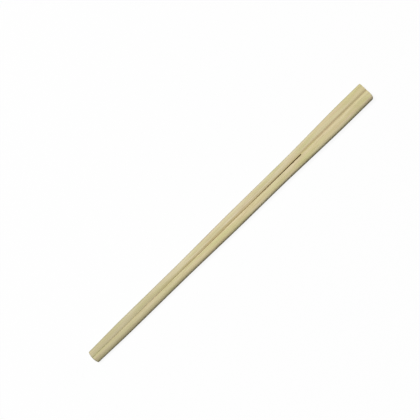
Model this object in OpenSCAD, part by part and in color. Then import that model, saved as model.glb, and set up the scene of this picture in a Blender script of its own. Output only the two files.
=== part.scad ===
// Pair of disposable bamboo chopsticks, joined at the head.
// One bamboo strip is milled to the outline of two sticks, turned rounder and
// rounder towards the tips, and slit from the tips up to the head. The head stays
// in one piece, with a groove on both faces where the pair is snapped apart.
// It lies on its flat underside: +X towards the head, +Z up, and the origin is
// under the middle of the pair. Lengths are in millimetres.

/* [Overall] */
// Length of the pair, from the tips to the sawn head
pair_length = 230; // [210:1:250]
// Thickness of the strip at the head
head_thickness = 5; // [4.6:0.1:5.6]
// Thickness of the strip at the tips
tip_thickness = 3.9; // [3.5:0.1:4.1]

/* [Head] */
// Width of the joined head
head_width = 12.4; // [11.8:0.1:12.8]
// Length of the parallel part of the head
head_length = 26; // [20:1:34]
// Length of the shoulders, where the head narrows to the sticks
shoulder_length = 44; // [36:1:52]
// Depth of the groove along the middle of each face of the head
groove_depth = 0.7; // [0.5:0.05:0.75]
// Distance by which the turning axis is set in from the middle of each half of the head
head_inset = 0.1; // [0:0.05:0.1]

/* [Sticks] */
// Width across both sticks under the shoulders
waist_width = 10.5; // [10.1:0.1:11]
// Height of the flat that is left on the side of a stick there
waist_flat = 1.2; // [0.8:0.1:2.4]
// Width across both sticks along their lower part
lower_width = 9.4; // [9:0.1:9.7]
// Height of the flat that is left on the side of a stick there
lower_flat = 0.8; // [0.6:0.1:1.8]
// Length of the lower part, from the tips
lower_length = 75; // [60:1:90]
// Length over which the sticks widen from the lower part to the waist
step_length = 40; // [20:1:50]

/* [Points] */
// Length of the tapered points
point_length = 24; // [15:1:40]
// Width across both tips
tip_width = 8.3; // [7.7:0.1:8.7]
// Height of the flat that is left on the side of a tip
tip_flat = 0.8; // [0.6:0.1:1.4]
// Gap between the two tips
tip_gap = 0.2; // [0.15:0.05:0.35]
// Distance by which the turning axis is set in from the middle of each tip
tip_inset = 0.15; // [0.1:0.05:0.2]
// Chamfer round the end of each tip
tip_chamfer = 0.4; // [0.2:0.1:0.7]

/* [Slit] */
// Length of the slit, from the tips to its root in the head
slit_length = 173; // [165:1:185]
// Width of the slit at its root
root_gap = 0.6; // [0.3:0.1:0.8]
// Width of the slit along the lower part, where the sticks lie together
closed_gap = 0.12; // [0.08:0.02:0.2]

/* [Hidden] */
$fn = 96;
bamboo = [0.81, 0.76, 0.60];

// Places along the pair, measured from the tips
step_end = lower_length + step_length;
head_start = pair_length - head_length;
waist_end = head_start - shoulder_length;

// The axis that each stick is turned about, from its tip to the head
tip_axis = [0, (tip_width + tip_gap) / 4 - tip_inset, tip_thickness / 2];
head_axis = [pair_length, head_width / 4 - head_inset, head_thickness / 2];

// Cutting shapes run past the strip by this much, so that no faces coincide
overrun = 1;

// The axis at a distance x from the tips: its place across, and half of the thickness there
function axis_at(x) = tip_axis + (head_axis - tip_axis) * x / pair_length;

// Width of the slit between its lower part and its root
function slit_gap(x) =
    closed_gap + (root_gap - closed_gap) * (x - lower_length) / (slit_length - lower_length);

// Distance from the axis to the further side of a stick, where the pair is wide
function reach(x, wide, gap) = max(wide / 2 - axis_at(x).y, axis_at(x).y - gap / 2);

// Turned radius that leaves a flat of this height on a side at the furthest reach
function leg_radius(reaches, flat) = norm([max(reaches), flat / 2]);

// Turned radius at which the two sticks meet at the bottom of the groove
function head_radius(x) = norm([axis_at(x).y, axis_at(x).z - groove_depth]);

// Plan of one stick: its outer side, then its inner side with half of the slit
module stick_plan() {
    polygon([
        [0, tip_width / 2],
        [point_length, lower_width / 2],
        [lower_length, lower_width / 2],
        [step_end, waist_width / 2],
        [waist_end, waist_width / 2],
        [head_start, head_width / 2],
        [pair_length, head_width / 2],
        [pair_length, 0],
        [slit_length, 0],
        [slit_length, root_gap / 2],
        [lower_length, closed_gap / 2],
        [point_length, closed_gap / 2],
        [0, tip_gap / 2]
    ]);
}

// Side view of the strip: flat underneath, with the taper on top
module strip_side() {
    polygon([
        [0, 0],
        [pair_length, 0],
        [pair_length, head_thickness],
        [0, tip_thickness]
    ]);
}

// One half of the milled strip, still with square edges
module stick_blank() {
    intersection() {
        linear_extrude(head_thickness + overrun) stick_plan();
        rotate([90, 0, 0])
            translate([0, 0, -head_width / 2 - overrun])
                linear_extrude(head_width / 2 + 2 * overrun) strip_side();
    }
}

// Outline of the turning, drawn up from the tip as [radius, distance]
module turning_outline() {
    lower_part = [point_length, lower_length];
    waist_part = [step_end, waist_end];
    head_part = [head_start, pair_length + overrun];
    tip_r = leg_radius([reach(0, tip_width, tip_gap)], tip_flat);
    lower_r = leg_radius([for (x = lower_part) reach(x, lower_width, closed_gap)], lower_flat);
    waist_r = leg_radius([for (x = waist_part) reach(x, waist_width, slit_gap(x))], waist_flat);
    polygon([
        [0, -overrun],
        [tip_r - tip_chamfer - overrun, -overrun],
        [tip_r, tip_chamfer],
        for (x = lower_part) [lower_r, x],
        for (x = waist_part) [waist_r, x],
        for (x = head_part) [head_radius(x), x],
        [0, pair_length + overrun]
    ]);
}

// The round form that one stick is turned to, along its own slanting axis
module stick_turning() {
    run = head_axis - tip_axis;
    translate(tip_axis)
        rotate([0, acos(run.z / norm(run)), atan2(run.y, run.x)])
            rotate_extrude() turning_outline();
}

module stick() {
    intersection() {
        stick_blank();
        stick_turning();
    }
}

// Both sticks, which meet in the head and stay in one piece there
module chopstick_pair() {
    color(bamboo)
        translate([-pair_length / 2, 0, 0])
            for (side = [0, 1]) mirror([0, side, 0]) stick();
}

chopstick_pair();
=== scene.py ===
# %% [markdown]
# # Joined bamboo chopsticks
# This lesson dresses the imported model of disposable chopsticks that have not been
# snapped apart yet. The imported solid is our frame: it fixes the size and the place
# of everything. We load it first and keep its box, so that the finished mesh can be
# measured against it at the end.

# %% Load the frame
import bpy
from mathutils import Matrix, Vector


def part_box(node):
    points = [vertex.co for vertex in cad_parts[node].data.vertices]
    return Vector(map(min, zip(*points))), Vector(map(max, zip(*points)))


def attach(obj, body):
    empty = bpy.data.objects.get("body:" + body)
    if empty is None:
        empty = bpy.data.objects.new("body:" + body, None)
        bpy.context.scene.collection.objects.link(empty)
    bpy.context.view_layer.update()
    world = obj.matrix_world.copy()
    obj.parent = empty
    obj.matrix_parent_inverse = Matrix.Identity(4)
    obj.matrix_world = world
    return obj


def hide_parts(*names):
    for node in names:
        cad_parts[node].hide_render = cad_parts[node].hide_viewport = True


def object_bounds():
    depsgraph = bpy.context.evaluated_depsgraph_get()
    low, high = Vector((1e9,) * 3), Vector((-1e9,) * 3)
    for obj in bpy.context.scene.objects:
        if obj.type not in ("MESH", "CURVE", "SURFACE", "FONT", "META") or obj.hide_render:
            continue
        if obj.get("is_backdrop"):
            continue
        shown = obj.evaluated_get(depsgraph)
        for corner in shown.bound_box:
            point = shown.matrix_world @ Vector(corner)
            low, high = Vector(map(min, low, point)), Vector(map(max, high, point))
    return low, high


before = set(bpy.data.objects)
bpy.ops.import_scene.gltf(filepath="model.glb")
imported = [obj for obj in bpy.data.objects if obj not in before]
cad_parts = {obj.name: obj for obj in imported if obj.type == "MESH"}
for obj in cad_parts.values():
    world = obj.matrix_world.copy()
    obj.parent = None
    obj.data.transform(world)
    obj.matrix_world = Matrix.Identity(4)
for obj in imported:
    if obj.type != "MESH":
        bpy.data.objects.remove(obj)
cad_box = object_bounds()
print("nodes:", sorted(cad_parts), "box:", [tuple(corner) for corner in cad_box])

# %% Libraries
from math import atan2, cos, radians, sin, sqrt, tan

import bmesh
import bpy
import numpy as np
from mathutils import Vector, noise

print("Blender", bpy.app.version_string)

# %% [markdown]
# ## The camera
# The sticks lie from the lower left to the upper right of the picture, seen steeply
# from above with a long lens. A camera can be placed by hand, but here its heading
# and height are two angles about an aim point on the table. That way the view can be
# turned a degree at a time while it is compared with the photograph.

# %% Place the camera
scene = bpy.context.scene
scene.view_settings.view_transform = "Standard"


def towards(heading, height):
    """Direction from the table, by degrees round from +X and degrees over the floor."""
    flat = cos(radians(height))
    return Vector((cos(radians(heading)) * flat, sin(radians(heading)) * flat, sin(radians(height))))


view_distance = 1.1
aim = Vector((-0.00365, 0.01502, 0))
to_camera = towards(heading=-135.24, height=74)

lens = bpy.data.cameras.new("camera")
lens.sensor_width = 36
lens.lens = 159.2
camera = bpy.data.objects.new("camera", lens)
camera.location = aim + to_camera * view_distance
camera.rotation_euler = to_camera.to_track_quat("Z", "Y").to_euler()
scene.collection.objects.link(camera)
scene.camera = camera
print("camera at", [round(c, 3) for c in camera.location])

# %% [markdown]
# ## Shader sums in Python
# A material is a graph of nodes, and a long chain of Math nodes is hard to read. The
# class below wraps one output socket. Adding or multiplying wrapped sockets adds the
# Math node that does it, so a formula reads like a formula. Any other node comes from
# one method: its type, its settings, then its sockets.

# %% A wire between nodes
class Wire:
    """One output socket of a node tree, with arithmetic that adds Math nodes."""

    def __init__(self, tree, socket=None):
        self.tree = tree
        self.socket = socket

    def node(self, kind, settings=None, sockets=None, out=0):
        """Adds a node, sets its settings and then its sockets, and wires from one output."""
        made = self.tree.nodes.new(kind)
        for name, value in (settings or {}).items():
            setattr(made, name, value)
        for name, value in (sockets or {}).items():
            if isinstance(value, Wire):
                self.tree.links.new(value.socket, made.inputs[name])
            else:
                made.inputs[name].default_value = value
        return Wire(self.tree, made.outputs[out] if made.outputs else None)

    def math(self, operation, *values):
        """Adds a Math node that works on wires and numbers."""
        return self.node("ShaderNodeMath", {"operation": operation}, dict(enumerate(values)))

    def part(self, axis):
        """The X, Y or Z of a vector."""
        return self.node("ShaderNodeSeparateXYZ", sockets={0: self}, out=axis)

    def __add__(self, other):
        return self.math("ADD", self, other)

    def __radd__(self, other):
        return self.math("ADD", other, self)

    def __sub__(self, other):
        return self.math("SUBTRACT", self, other)

    def __rsub__(self, other):
        return self.math("SUBTRACT", other, self)

    def __mul__(self, other):
        return self.math("MULTIPLY", self, other)

    def __rmul__(self, other):
        return self.math("MULTIPLY", other, self)

    def __abs__(self):
        return self.math("ABSOLUTE", self)


def blank_tree(owner):
    """The emptied node tree of a material or a world, ready for wires."""
    owner.use_nodes = True
    owner.node_tree.nodes.clear()
    return Wire(owner.node_tree)


print("wires can be added, subtracted and multiplied")

# %% [markdown]
# ## Floor and background
# The ground of the picture is plain white. Lighting a floor to pure white would burn out
# the pale bamboo, so the floor glows for the rays that the camera sees, and keeps a little
# of its shading so that a soft shadow stays beside the sticks. Rays that bounce on to the
# sticks meet a duller floor, which leaves their shaded sides as dark as they should be. The
# slit goes right through to the floor, so a narrow strip that the sticks cover does not
# glow. Otherwise the slit would shine white from above, where a real one is dark.

# %% Which rays show the background
def shows_background(tree):
    """1 for the rays that show the background in a picture, 0 for those that light the sticks."""
    camera_ray = tree.node("ShaderNodeLightPath", out="Is Camera Ray")
    glossy_ray = tree.node("ShaderNodeLightPath", out="Is Glossy Ray")
    clear_ray = tree.node("ShaderNodeLightPath", out="Is Transmission Ray")
    return tree.math("MINIMUM", camera_ray + glossy_ray + clear_ray, 1.0)


print("camera, glossy and transmission rays see the background")

# %% Floor
floor_reach = 3.0
floor_sides = [(-1, -1), (1, -1), (1, 1), (-1, 1)]
floor_corners = [(x * floor_reach, y * floor_reach, 0) for x, y in floor_sides]
floor_mesh = bpy.data.meshes.new("floor")
floor_mesh.from_pydata(floor_corners, [], [range(len(floor_corners))])
floor = bpy.data.objects.new("floor", floor_mesh)
scene.collection.objects.link(floor)
floor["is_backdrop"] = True
print("floor", 2 * floor_reach, "m wide")

# %% Paper of the floor
floor_white = (0.9, 0.9, 0.9, 1)
floor_dull = (0.35, 0.35, 0.35, 1)
floor_glow = 0.92
covered_length = cad_box[1][0] - 0.003
covered_width = 0.001

floor_paper = bpy.data.materials.new("floor_paper")
tree = blank_tree(floor_paper)
on_floor = tree.node("ShaderNodeTexCoord", out="Object")
in_length = tree.math("LESS_THAN", abs(on_floor.part("X")), covered_length)
in_width = tree.math("LESS_THAN", abs(on_floor.part("Y")), covered_width)
glow = floor_glow * (1 - in_length * in_width)
shaded = tree.node("ShaderNodeBsdfDiffuse", sockets={"Color": floor_white})
glowing = tree.node("ShaderNodeEmission", sockets={"Strength": 1.0})
shown = tree.node("ShaderNodeMixShader", sockets={0: glow, 1: shaded, 2: glowing})
bounced = tree.node("ShaderNodeBsdfDiffuse", sockets={"Color": floor_dull})
paper = tree.node("ShaderNodeMixShader", sockets={0: shows_background(tree), 1: bounced, 2: shown})
tree.node("ShaderNodeOutputMaterial", sockets={"Surface": paper})
floor_mesh.materials.append(floor_paper)
print("the floor glows by", floor_glow, "except under the slit")

# %% [markdown]
# ## Light
# The tops of the sticks are bright, the side that faces us is much darker, and the change
# from one to the other is soft. That is one wide lamp, high up on the far side and a little
# towards the tips, over a faint even room light. A bare point lamp would draw hard lines in
# the groove, so the lamp is large. The sawn end of the head faces away from it, so a weak
# second lamp stands low on that side. It shines along the sticks and hardly touches the rest.

# %% World
room_level = 0.05
room_white = (1, 1, 1, 1)
world = bpy.data.worlds.new("studio")
scene.world = world
tree = blank_tree(world)
room = tree.node("ShaderNodeBackground", sockets={"Color": room_white, "Strength": room_level})
backdrop = tree.node("ShaderNodeBackground", sockets={"Color": room_white, "Strength": 1.0})
sky = tree.node("ShaderNodeMixShader", sockets={0: shows_background(tree), 1: room, 2: backdrop})
tree.node("ShaderNodeOutputWorld", sockets={"Surface": sky})
print("room light", room_level)

# %% Lamps
def add_lamp(name, direction, distance, size, energy):
    """A round soft lamp that points at the sticks."""
    light = bpy.data.lights.new(name, "AREA")
    light.shape = "DISK"
    light.size = size
    light.energy = energy
    lamp = bpy.data.objects.new(name, light)
    lamp.location = direction * distance
    lamp.rotation_euler = direction.to_track_quat("Z", "Y").to_euler()
    scene.collection.objects.link(lamp)
    print(name, "at", [round(c, 3) for c in lamp.location])


add_lamp("soft_lamp", towards(heading=130, height=63), distance=3.0, size=1.6, energy=95)
add_lamp("head_lamp", towards(heading=0, height=8), distance=2.0, size=0.5, energy=12)

# %% [markdown]
# ## Sizes along the sticks
# One strip of bamboo is planed to a wedge, thick at the head and thin at the tips. A cutter
# rounds it into two sticks side by side, and a saw splits them up to the joined head. The
# frame gives the length, the head's width and its thickness. The other sizes are those of the
# solid, in millimetres from the tips, but each stick has its own place to widen, and the slit
# is as narrow as it looks. The solid bends sharply from one stretch to the next, while a cutter
# on a cam does not, so each size here is eased over a few millimetres.

# %% Named sizes
mm = 0.001
box_low, box_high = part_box("chopstick_pair")
length, head_width, head_thickness = (box_high - box_low) / mm

tip_thickness = 3.9
tip_width = 8.3
lower_width = 9.4
waist_width = 10.5
slit_length = 173
far, near = 1, -1

point_end = 24
lower_end = 75
waist_start = 115
waist_end = {far: 166, near: 154}
head_start = {far: 208, near: 200}
print(f"pair {length:.1f} x {head_width:.1f} x {head_thickness:.1f} mm")

# %% Sizes at any place
bend_ease = 5.0
ease_steps = 15


def eased(x, side, sizes):
    """A size given at each bend, averaged over a few millimetres so that it changes softly."""
    bends = [0, point_end, lower_end, waist_start, waist_end[side], head_start[side], length]
    nearby = x + np.linspace(-bend_ease, bend_ease, ease_steps)
    return np.interp(nearby, bends, sizes).mean()


def thickness(x):
    return np.interp(x, [0, length], [tip_thickness, head_thickness])


print("thickness at the middle", round(thickness(length / 2), 2), "mm")

# %% Width of the slit
slit_closed_to = 129
slit_open_from = 141
slit_places = [0, point_end, slit_closed_to, slit_open_from, slit_length]
slit_gaps = [0.06, 0.03, 0.05, 0.24, 0.5]


def slit_gap(x):
    """The slit is widest at its root, and the sticks almost touch further down."""
    return np.interp(x, slit_places, slit_gaps)


print("slit", slit_gap(slit_length), "mm wide at its root")

# %% [markdown]
# ## The shape across
# Four things shape a stick: its width, the arc that the cutter leaves over its outer shoulder, a
# low crown on its top, and the fall of the groove towards the other stick. At the tips the arcs
# above and below almost meet at half height, and at the head they leave a flat side between
# them. The two sticks are cut on two sides of the machine, so each one has its own arcs and its
# own crown. A size is listed once for each bend, from the tips to the head.

# %% Width and shoulder
corner_round = {far: 0.15, near: 1.5}
pair_widths = tip_width, lower_width, lower_width, waist_width, waist_width, head_width, head_width
arc_radii = {far: (2.2, 2.2, 2.2, 2.2, 2.1, 2.0, 2.0), near: (4.0, 3.2, 2.45, 2.45, 2.1, 2.8, 3.1)}
arc_depths = {far: (1.85, 1.85, 1.85, 1.8, 1.7, 1.6, 1.6), near: (1.92, 1.97, 2.06, 1.9, 1.65, 1.75, 1.85)}


def rounded_off(distance, radius):
    """How far a rounded rim stands back, at a distance from the end that it runs round."""
    rest = min(max(1 - distance / radius, 0), 1)
    return radius * (1 - sqrt(1 - rest * rest))


def stick_width(x, side):
    """From the middle of the slit to the outer face, with the corner at the head's end rounded."""
    return eased(x, side, pair_widths) / 2 - rounded_off(length - x, corner_round[side])


def shoulder_arc(x, side):
    """Where the arc leaves the top, measured from the slit, and its radius. It ends on the outer face."""
    radius = eased(x, side, arc_radii[side])
    depth = eased(x, side, arc_depths[side])
    return stick_width(x, side) - sqrt(2 * radius * depth - depth ** 2), radius


for x in (0, length / 2, length):
    start, radius = shoulder_arc(x, near)
    print(f"shoulder at {x:.0f} mm starts {start:.2f} mm from the slit, with radius {radius:.2f} mm")

# %% Crown and groove
crown_radii = {far: (12, 12, 12, 16, 18, 18, 18), near: (12, 12, 12, 14, 14, 14, 14)}
groove_depths = 0.22, 0.28, 0.36, 0.4, 0.42, 0.5, 0.5
groove_widths = 1.6, 1.7, 1.8, 1.8, 1.8, 1.8, 1.8
groove_softness = 0.1, 0.1, 0.1, 0.1, 0.2, 0.45, 0.45


def crown_radius(x, side):
    """The planed top is not quite flat but a wide arc."""
    return eased(x, side, crown_radii[side])


def groove_fall(x, side, across):
    """How far the groove lies below the top, at distances from the middle of the pair."""
    depth = eased(x, side, groove_depths)
    width = eased(x, side, groove_widths)
    soft = eased(x, side, groove_softness)
    radius = (width ** 2 + depth ** 2) / (2 * depth)
    inside = np.maximum(width - np.hypot(across, soft), 0)
    return radius - np.sqrt(radius ** 2 - inside ** 2)


for x in (0, length / 2, length):
    print(f"groove at {x:.0f} mm is {groove_fall(x, far, 0):.2f} mm deep")

# %% [markdown]
# ## The section of a stick
# Cut across, a stick has a low crown above and a flat below, arcs over its outer shoulders, a
# trimmed outer side, and a flat inner side along the slit. Each of these limits how far the wood
# reaches from the stick's middle at an angle. Taking the smallest limit gives razor edges, which
# sanding never leaves. A power mean follows the smallest limit but rolls softly from one to the
# next, so one formula gives the flats, the rounding and the worn edges. It works on one over the
# reach, so that the smallest limit counts most. It also tells where the edges are, for the finish.

# %% Soft section
edge_crispness = 22
slit_crispness = 60


def power_mean(limits, crispness):
    limits = np.array(limits)
    return (limits ** crispness).sum(axis=0) ** (1 / crispness)


def face_limits(x, side, angle):
    """One over the reach to the shoulder arcs, and to the crown above and the flat below."""
    half = thickness(x) / 2
    out, up = np.cos(angle), np.sin(angle)
    crown = crown_radius(x, side)
    below = crown - half
    crown_reach = np.sqrt((below * up) ** 2 + crown ** 2 - below ** 2) - below * up
    planed = np.where(up > 0, 1 / crown_reach, -up / half)
    arc_start, arc_radius = shoulder_arc(x, side)
    shift, drop = arc_start - stick_width(x, side) / 2, half - arc_radius
    towards_arc = shift * out + drop * abs(up)
    arc_reach = towards_arc + np.sqrt(towards_arc ** 2 + arc_radius ** 2 - shift ** 2 - drop ** 2)
    arc = np.where(out * half > abs(up) * shift, 1 / arc_reach, abs(up) / half)
    return arc, planed


def section(x, side, angle, split):
    """Reach from the stick's middle at angles, 0 pointing outwards, and how much of an edge is there."""
    arc, planed = face_limits(x, side, angle)
    out, half_width = np.cos(angle), stick_width(x, side) / 2
    trimmed = np.maximum(out, 0) / half_width
    inner_face = np.maximum(-out, 0) / (half_width - slit_gap(x) / 2) if split else np.zeros_like(out)
    # The arc and the planed face are one surface over the middle of the top, so each counts half.
    counted_once = 0.5 ** (1 / edge_crispness)
    outside = power_mean([counted_once * arc, counted_once * planed, trimmed], edge_crispness)
    total = power_mean([outside, inner_face], slit_crispness)
    other, first = np.sort([np.maximum(arc, planed), np.maximum(trimmed, inner_face)], axis=0)
    return 1 / total, (other / first) ** edge_crispness


reach, edge = section(length / 2, far, np.radians([0, 45, 90, 180]), True)
print("reach outwards, to the corner, up and inwards:", reach.round(2), "edge:", edge.round(2))

# %% [markdown]
# ## Raised fibres
# Bamboo is planed and tumbled, not varnished, so its fibres stand up a little as long ridges
# that run with the stick. They could be left to a bump map alone, but ridges in the mesh also
# catch light along the outline. Noise that is drawn out along the stick gives them, a few
# hundredths of a millimetre high, so that the outline stays that of the solid.

# %% Fibre ridges
fine_ridge = 0.005
fine_run, fine_across = 60, 0.5
broad_ridge = 0.022
broad_run, broad_across, broad_shift = 35, 2.2, 9


def long_noise(points, run, across, shift=0):
    """Noise at points in millimetres, drawn out along the stick."""
    return np.array([noise.noise((x / run + shift, y / across, z / across)) for x, y, z in points])


def fibre_ridges(points):
    """Height of the raised fibres at points in millimetres."""
    fine = long_noise(points, fine_run, fine_across)
    broad = long_noise(points, broad_run, broad_across, broad_shift)
    return fine_ridge * fine + broad_ridge * broad


print("ridges up to", fine_ridge + broad_ridge, "mm")

# %% [markdown]
# ## Rings of points
# Each stick is skinned from rings of points, one every millimetre or so. Below the head a ring
# runs round the stick and back along the slit. In the head there is no slit, so the ring stays
# open and ends at the bottoms of the two grooves, where the other stick's ring takes over. The
# two sticks have their own crowns, so their grooves would end at different heights. Both are
# brought half way to the other there, and the ridges fade out, so that the rings meet exactly.

# %% Angles round a ring
arc_steps = 104
wall_steps = 14
groove_steps = 10


def groove_corners(x, side, across):
    """Angles at which the lower and the upper face are this far from the middle of the pair."""
    half, inner = thickness(x) / 2, stick_width(x, side) / 2 - across
    crown = crown_radius(x, side)
    top = sqrt(crown ** 2 - inner ** 2) - crown + half
    return atan2(-half, -inner), atan2(top, -inner)


def leg_angles(x, side):
    """Round the stick from the slit's lower edge to its upper edge, then down the wall of the slit."""
    inner = (stick_width(x, side) - slit_gap(x)) / 2
    low, high = groove_corners(x, side, slit_gap(x) / 2)
    heights = -inner * np.linspace(tan(high), tan(low), wall_steps + 1)[1:-1]
    return np.concatenate([np.linspace(low, high, arc_steps + 1), np.arctan2(heights, -inner)])


def head_angles(x, side):
    """Round the stick from the bottom of the lower groove to the bottom of the upper one."""
    low, high = groove_corners(x, side, slit_gap(x) / 2)
    lowest, highest = groove_corners(x, side, 0)
    return np.concatenate([
        np.linspace(lowest, low, groove_steps + 1)[:-1],
        np.linspace(low, high, arc_steps + 1),
        np.linspace(high, highest, groove_steps + 1)[1:],
    ])


print("points in a ring: leg", len(leg_angles(lower_end, far)), "head", len(head_angles(length, far)))

# %% Planed rings
tip_round = 0.4
head_rim = 0.18
groove_ease = 1.6


def planed_ring(x, side, split):
    """Points in millimetres round one stick, their angles, and how much of an edge each one lies on."""
    angle = leg_angles(x, side) if split else head_angles(x, side)
    reach, edge = section(x, side, angle, split)
    out, up = np.cos(angle), np.sin(angle)
    reach = reach - rounded_off(length - x, head_rim) - rounded_off(x, tip_round) * (1 + out) / 2
    middle, half = stick_width(x, side) / 2, thickness(x) / 2
    points = np.stack([np.full_like(angle, x), middle + reach * out, reach * up], axis=1)
    points[:, 2] *= 1 - groove_fall(x, side, points[:, 1]) / half
    points[:, 1] *= side
    points[:, 2] += half
    return points, angle, edge


def meet_in_groove(points, other_points, angle):
    """Brings the bottoms of the grooves half way to those of the other stick, and eases what is near."""
    upper = np.sin(angle)[:, None] > 0
    bottom = np.where(upper, points[-1], points[0])
    other_bottom = np.where(upper, other_points[-1], other_points[0])
    closeness = np.maximum(1 - abs(points[:, 1:2] - bottom[:, 1:2]) / groove_ease, 0) ** 2
    return points + closeness * (other_bottom - bottom) / 2


print("groove bottom at the head,", planed_ring(length, far, False)[0][-1].round(2))

# %% Finished rings
tip_bow = 0.7
bow_fade = 8
ridge_fade = 0.5


def ring(x, side, split):
    """Points round one stick with its fibres raised, and how much of an edge each one lies on."""
    points, angle, edge = planed_ring(x, side, split)
    out, up = np.cos(angle), np.sin(angle)
    lift = fibre_ridges(points) * np.minimum(abs(points[:, 1]) / ridge_fade, 1)
    if not split:
        points = meet_in_groove(points, planed_ring(x, -side, split)[0], angle)
        lift[[0, -1]] = 0
    points[:, 1] += side * lift * out
    points[:, 2] = np.maximum(points[:, 2] + lift * up, 0)
    points[:, 0] += tip_bow * (2 * points[:, 1] / tip_width) ** 2 * max(1 - x / bow_fade, 0) ** 2
    return points, edge


print("points in the first ring:", len(ring(0, far, True)[0]))

# %% Places of the rings
tip_shares = np.array([0, 0.06, 0.2, 0.4, 0.65, 1])
corner_shares = np.array([1.5, 1, 0.8, 0.6, 0.4, 0.2, 0.12, 0.05, 0])
before_root = 0.4
after_root = np.array([0.25, 0.6])
head_from = slit_length + 1.5
head_rings = 42
leg_places = np.concatenate([
    tip_round * tip_shares,
    np.arange(1, slit_length),
    [slit_length - before_root, slit_length],
])
head_places = np.concatenate([
    slit_length + after_root,
    np.linspace(head_from, length - 2 * corner_round[near], head_rings),
    length - corner_round[near] * corner_shares,
])
print("rings along a stick: leg", len(leg_places), "head", len(head_places))

# %% [markdown]
# ## Skinning the pair
# Rows of points become rows of faces. The two sticks share the points on the middle line of the
# head, which makes the pair one closed skin, as it is one piece of bamboo. A boolean of two rods
# could do the same, but it would leave slivers in the thin slit, and here every face can be laid
# along the fibres.

# %% Rows and faces
skin = bmesh.new()
edge_wear = skin.verts.layers.float.new("edge_wear")


def add_row(points, edge):
    """New points of the skin, from millimetres, with how much of an edge each one lies on."""
    row = []
    for (x, y, z), worn in zip(points, edge):
        corner = skin.verts.new((box_low.x + x * mm, y * mm, z * mm))
        corner[edge_wear] = worn
        row.append(corner)
    return row


def points_of(row):
    """The points of a row, back in millimetres from the tips."""
    return np.array([((v.co.x - box_low.x) / mm, v.co.y / mm, v.co.z / mm) for v in row])


def bridge(rows):
    """Faces between rows of the same number of points."""
    for first, second in zip(rows, rows[1:]):
        for a, b, c, d in zip(first, first[1:], second[1:], second):
            skin.faces.new((a, b, c, d))


def looped(row):
    return row + row[:1]


print("each point keeps its", edge_wear.name)

# %% Legs and head
legs = {}
heads = {}
for side in (far, near):
    legs[side] = [add_row(*ring(x, side, True)) for x in leg_places]
    heads[side] = [add_row(*ring(x, side, False)) for x in head_places]
    bridge([looped(row) for row in legs[side]])
    bridge(heads[side])
    last_arc = legs[side][-1][:arc_steps + 1]
    first_arc = heads[side][0][groove_steps:groove_steps + arc_steps + 1]
    bridge([last_arc, first_arc])
print("skinned", len(skin.faces), "faces")

# %% [markdown]
# ## The root of the slit
# The saw stops where the head begins, and the slit ends there in a thin wall of wood. Seen
# from above it is the dark point at which the two sticks become one. The wall is a small grid
# between the two walls of the slit and the bottoms of the grooves above and below. Its columns
# start with the heights of the slit's wall and are evenly spaced at the middle line, so that the
# halves of the two sticks meet there.

# %% End wall of the slit
def wall_column(top, bottom, shares):
    """A column of new points between two existing ones, which stay its ends."""
    high, low = points_of([top, bottom])
    inner_points = [high + (low - high) * share for share in shares[1:-1]]
    return [top] + add_row(inner_points, np.zeros(len(inner_points))) + [bottom]


for side in (far, near):
    leg_end = legs[side][-1]
    slit_wall = leg_end[arc_steps:] + leg_end[:1]
    heights = points_of(slit_wall)[:, 2]
    shares = (heights - heights[0]) / (heights[-1] - heights[0])
    even_shares = np.linspace(0, 1, len(shares))
    columns = [slit_wall]
    first_ring = heads[side][0]
    for step in range(groove_steps + 1):
        top = first_ring[groove_steps + arc_steps + step]
        bottom = first_ring[groove_steps - step]
        inwards = step / groove_steps
        columns.append(wall_column(top, bottom, shares + (even_shares - shares) * inwards))
    bridge(columns)
print("slit ends", slit_length, "mm from the tips")

# %% [markdown]
# ## Cut ends
# The head is sawn square, and the tips are sanded to a slight bow across the pair. Each end is
# closed with rings that shrink to its middle, rather than with one large face, so that the saw
# can leave it a little rough. The dots of the cut fibres come with the material. The two halves
# of the head's end share the line between them.

# %% Close the ends
end_rings = [0.97, 0.9, 0.78, 0.62, 0.44, 0.25]
end_grain = 0.004
end_grain_size = 0.25
tip_dish = 0.1


def saw_marks(points):
    """How far each point of an end stands out, because the saw leaves it rough."""
    return [end_grain * noise.noise((0, y / end_grain_size, z / end_grain_size)) for x, y, z in points]


def close_end(rim, centre):
    """Rings of points from a closed rim to a centre, rough from the saw."""
    outline = points_of(rim)
    rows = [looped(rim)]
    for share in end_rings:
        points = centre + (outline - centre) * share
        points[:, 0] += saw_marks(points)
        rows.append(looped(add_row(points, np.zeros(len(points)))))
    bridge(rows)
    hub = add_row([centre], [0])[0]
    for a, b in zip(rows[-1], rows[-1][1:]):
        skin.faces.new((a, b, hub))


for side in (far, near):
    tip_centre = np.array([tip_dish, side * stick_width(0, side) / 2, tip_thickness / 2])
    close_end(legs[side][0], tip_centre)
    half_rim = heads[side][-1]
    middle_line = wall_column(half_rim[-1], half_rim[0], np.linspace(0, 1, wall_steps + 1))
    head_centre = np.array([length, side * stick_width(length, side) / 2, head_thickness / 2])
    close_end(half_rim + middle_line[1:-1], head_centre)
print("ends closed,", len(skin.faces), "faces")

# %% [markdown]
# ## One skin
# The two halves lie against each other along the middle of the head, so welding the points that
# coincide there makes one closed skin. Every edge should then have two faces, so those that do
# not are counted. The mesh rides on the frame's only body and stands in for the plain solid.

# %% Weld and finish the mesh
weld_distance = 1e-6
crease = radians(40)
cubic_mm = mm ** 3
bmesh.ops.remove_doubles(skin, verts=skin.verts, dist=weld_distance)
bmesh.ops.recalc_face_normals(skin, faces=skin.faces)
open_edges = sum(1 for e in skin.edges if len(e.link_faces) != 2)
volume = skin.calc_volume()
pair_mesh = bpy.data.meshes.new("bamboo_pair")
skin.to_mesh(pair_mesh)
skin.free()
pair_mesh.shade_smooth()
pair_mesh.set_sharp_from_angle(angle=crease)

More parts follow.
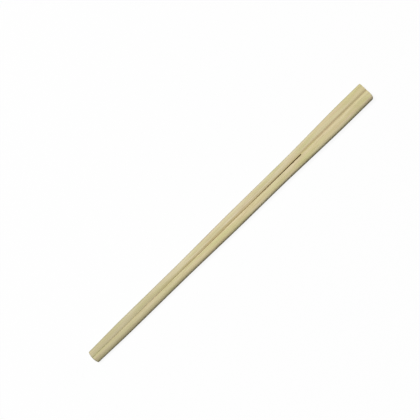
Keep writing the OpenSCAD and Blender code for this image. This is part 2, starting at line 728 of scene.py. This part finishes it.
pair = bpy.data.objects.new("bamboo_pair", pair_mesh)
scene.collection.objects.link(pair)
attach(pair, "root")
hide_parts("chopstick_pair")
triangles = sum(len(face.vertices) - 2 for face in pair_mesh.polygons)
print(triangles, "triangles,", open_edges, "open edges,", round(volume / cubic_mm), "mm3")

# %% [markdown]
# ## Bamboo
# Bamboo has no growth rings. It is pale cell tissue, with bundles of stiff fibre running
# through it from end to end, closer together towards the skin of the cane. Along a stick the
# bundles show as thin darker lines, and on a sawn end as dots. One pattern can do both: cells
# that are drawn out along the stick, so that each surface cuts the same bundles.

# %% Places in the wood
bamboo = bpy.data.materials.new("bamboo")
tree = blank_tree(bamboo)
place = tree.node("ShaderNodeTexCoord", out="Object")


def drawn_out(along, across, shift=0.0):
    """Coordinates in which one unit is this many millimetres along and across the fibres."""
    units = 1 / (along * mm), 1 / (across * mm), 1 / (across * mm)
    scaled = tree.node("ShaderNodeVectorMath", {"operation": "MULTIPLY"}, {0: place, 1: units})
    return tree.node("ShaderNodeVectorMath", {"operation": "ADD"}, {0: scaled, 1: (shift, shift, shift)})


def streaks(along, across, shift, detail=2.0):
    """Noise that is drawn out along the fibres, about 0.5 in the middle."""
    return tree.node("ShaderNodeTexNoise", {"noise_dimensions": "3D"},
                     {"Vector": drawn_out(along, across, shift), "Scale": 1.0, "Detail": detail})


def between(value, low, high):
    """0 below low, 1 above high, and a smooth rise between them."""
    return tree.node("ShaderNodeMapRange", {"interpolation_type": "SMOOTHSTEP"},
                     {"Value": value, "From Min": low, "From Max": high})


print("fibres run along X")

# %% Fibre bundles
bundle_spacing = 0.62
bundle_run = 160.0
bundle_sway = (0, 0.5, 0.5)
bundle_disorder = 0.85
inner_bundles = 0.45
wander = streaks(along=40.0, across=1.6, shift=3.0)
wandering = tree.node("ShaderNodeVectorMath", {"operation": "MULTIPLY_ADD"},
                      {0: wander, 1: bundle_sway, 2: drawn_out(bundle_run, bundle_spacing)})
to_bundle = tree.node("ShaderNodeTexVoronoi", {"feature": "F1", "voronoi_dimensions": "3D"},
                      {"Vector": wandering, "Scale": 1.0, "Randomness": bundle_disorder}, out="Distance")
bundle = 1 - between(to_bundle, low=0.10, high=0.28)
skin_side = between(place.part("Z"), low=0.0, high=head_thickness * mm)
bundles = bundle * (inner_bundles + (1 - inner_bundles) * skin_side)
print("bundles about", bundle_spacing, "mm apart")

# %% [markdown]
# ## Colour of the bamboo
# The wood is straw coloured, warmer in the near stick and at the head, with broad rosy and
# green streaks. Over them lie the tan fibres: thin streaks, fine hairs, short bands and the
# lines of the bundles. Mixing colours by masks keeps each of these a named colour, with a share
# that can be turned up or down alone.

# %% Places along and across
lengthwise = place.part("X")
sideways = place.part("Y")


def from_tips(low, high):
    """0 up to one distance from the tips, 1 from another on, in millimetres."""
    return between(lengthwise, box_low.x + low * mm, box_low.x + high * mm)


above_tips = from_tips(20, 100)
at_head = from_tips(165, 205)
near_stick = 1 - between(sideways, low=-0.4 * mm, high=0.4 * mm)
print("masks for the tips, the head and the near stick")

# %% Straw colours
pale_straw = (0.735, 0.665, 0.472, 1)
warm_straw = (0.638, 0.558, 0.302, 1)
rosy_straw = (0.685, 0.560, 0.378, 1)
green_straw = (0.578, 0.565, 0.270, 1)
least_warmth = 0.1
near_warmth = 0.43
head_warmth = 0.6
streak_warmth = 0.4
rosy_share = 0.75
green_share = 0.65


def mixed(share, first, second):
    """The second colour laid over the first, by a share from 0 to 1."""
    return tree.node("ShaderNodeMix", {"data_type": "RGBA"}, {0: share, 6: first, 7: second}, out=2)


broad = between(streaks(along=55.0, across=2.6, shift=1.0), low=0.35, high=0.65)
rosy = between(streaks(along=30.0, across=2.0, shift=9.0), low=0.45, high=0.68)
green = between(streaks(along=24.0, across=2.4, shift=5.0), low=0.45, high=0.68)
warmth = least_warmth + near_warmth * near_stick + head_warmth * at_head * (1 - near_stick)
colour = mixed(warmth + streak_warmth * broad, pale_straw, warm_straw)
colour = mixed(rosy_share * rosy, colour, rosy_straw)
colour = mixed(green_share * green, colour, green_straw)
print("straw with rosy and green streaks")

# %% Tan fibres
tan_fibre = (0.470, 0.380, 0.180, 1)
thin_share = 0.22
hair_share = 0.22
band_share = 0.25
far_bands = 0.5
bundle_share = 0.5
thin = between(streaks(along=26.0, across=0.5, shift=7.0, detail=3.0), low=0.40, high=0.75)
hairs = between(streaks(along=12.0, across=0.12, shift=11.0), low=0.45, high=0.70)
bands = between(streaks(along=9.0, across=1.1, shift=13.0), low=0.48, high=0.62)
banding = band_share * bands * (far_bands + (1 - far_bands) * near_stick)
fibres = thin_share * thin + hair_share * hairs + banding + bundle_share * bundles
colour = mixed(fibres, colour, tan_fibre)
print("thin streaks, hairs, bands and bundles in tan")

# %% [markdown]
# ## Groove, sides, tips and ends
# Sanding brightens the edges. The groove has painted shade, browner than the planed faces and
# mostly on its far slope, and the walls of the slit have darker painted shade still. The sides
# have painted shade, most on the near side towards the tips, and the tips are darker. On the
# sawn ends the cut bundles show as brown dots. All of this is told apart by the place in the
# wood and by the way a surface faces, so it stays put from any side.

# %% Worn edges and painted shade in the groove
worn_straw = (0.690, 0.635, 0.420, 1)
wear_share = 0.5
worn = tree.node("ShaderNodeAttribute", {"attribute_name": "edge_wear"}, out="Fac")
colour = mixed(wear_share * worn, colour, worn_straw)

# Painted shade: the groove is darkened in the colour, mostly on its far slope, which faces away from the
# lamp.
groove_shade_brown = (0.450, 0.330, 0.060, 1)
head_groove_shade_brown = (0.430, 0.315, 0.160, 1)
groove_shade_lean = 0.5 * mm
tip_groove_shade = 0.03
groove_shade_gain = 0.34
head_groove_shade_gain = 0.08
in_groove_shade = 1 - between(abs(sideways - groove_shade_lean), low=0.1 * mm, high=1.2 * mm)
groove_shade_tint = mixed(at_head, groove_shade_brown, head_groove_shade_brown)
groove_shade_share = tip_groove_shade + groove_shade_gain * above_tips + head_groove_shade_gain * at_head
colour = mixed(groove_shade_share * in_groove_shade, colour, groove_shade_tint)
print("edges brighter, groove browner")

# %% Painted shade on the sides and in the slit
# Painted shade: surfaces that face aside are darkened in the colour, most of all the near side towards the
# tips, which faces away from the lamp.
side_shade_brown = (0.330, 0.285, 0.165, 1)
side_shade_share = 0.55
near_tip_shade_gain = 0.4
facing = tree.node("ShaderNodeTexCoord", out="Normal")
facing_aside = abs(facing.part("Y"))
side_shade_shares = side_shade_share + near_tip_shade_gain * near_stick * (1 - above_tips)
colour = mixed(side_shade_shares * between(facing_aside, low=0.55, high=0.9), colour, side_shade_brown)

# Painted shade: the walls of the slit are darkened to a deep brown, as little light reaches into the slit.
slit_shade_brown = (0.300, 0.160, 0.040, 1)
tip_slit_shade = 0.3
slit_shade_gain = 0.6
in_slit_shade = 1 - between(abs(sideways), low=0.3 * mm, high=0.6 * mm)
slit_shade_shares = tip_slit_shade + slit_shade_gain * above_tips
colour = mixed(slit_shade_shares * in_slit_shade * between(facing_aside, low=0.4, high=0.8), colour, slit_shade_brown)
print("sides duller, slit brown")

# %% Tips and sawn ends
tip_straw = (0.390, 0.352, 0.195, 1)
tip_share = 0.4
colour = mixed(tip_share * (1 - above_tips), colour, tip_straw)

end_brown = (0.260, 0.180, 0.080, 1)
end_share = 0.1
dot_share = 0.7
sawn_end = between(abs(facing.part("X")), low=0.7, high=0.95)
colour = mixed(sawn_end * (end_share + dot_share * bundle), colour, end_brown)
print("tips duller, bundles dotted on the sawn ends")

# %% [markdown]
# ## Finish of the bamboo
# Planed bamboo is dull, with a faint shine on the hard bundles and none on the soft tissue
# between them. So the bundles lower the roughness, and the same fibres that colour the wood
# raise it a little in a bump, finer than the ridges of the mesh.

# %% Shine and grain
dullness = 0.62
bundle_polish = 0.12
hair_dullness = 0.08
roughness = dullness - bundle_polish * bundles + hair_dullness * (hairs - 0.5)

hair_height = 0.55
thin_height = 0.3
bundle_height = 0.3
grain = hair_height * hairs + thin_height * thin + bundle_height * bundles
grain_bump = tree.node("ShaderNodeBump", sockets={
    "Strength": 0.2, "Distance": 0.04 * mm, "Height": grain})
wood = tree.node("ShaderNodeBsdfPrincipled", sockets={
    "Base Color": colour, "Roughness": roughness, "Normal": grain_bump,
    "Specular IOR Level": 0.25})
tree.node("ShaderNodeOutputMaterial", sockets={"Surface": wood})
pair_mesh.materials.append(bamboo)
print("bamboo has", len(bamboo.node_tree.nodes), "nodes")

# %% [markdown]
# ## Measure
# Last, the box of what is shown is set beside the box of the solid, and how much it grows is
# printed. They should agree to a few hundredths of a millimetre, because the mesh only softens
# the edges of the solid.

# %% Measure
shown_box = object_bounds()
boxes = {"cad": [list(corner) for corner in cad_box], "visual": [list(corner) for corner in shown_box]}
print("box grows by, mm:", [[round((b - a) / mm, 3) for a, b in zip(*pair_of)]
                            for pair_of in zip(boxes["cad"], boxes["visual"])])
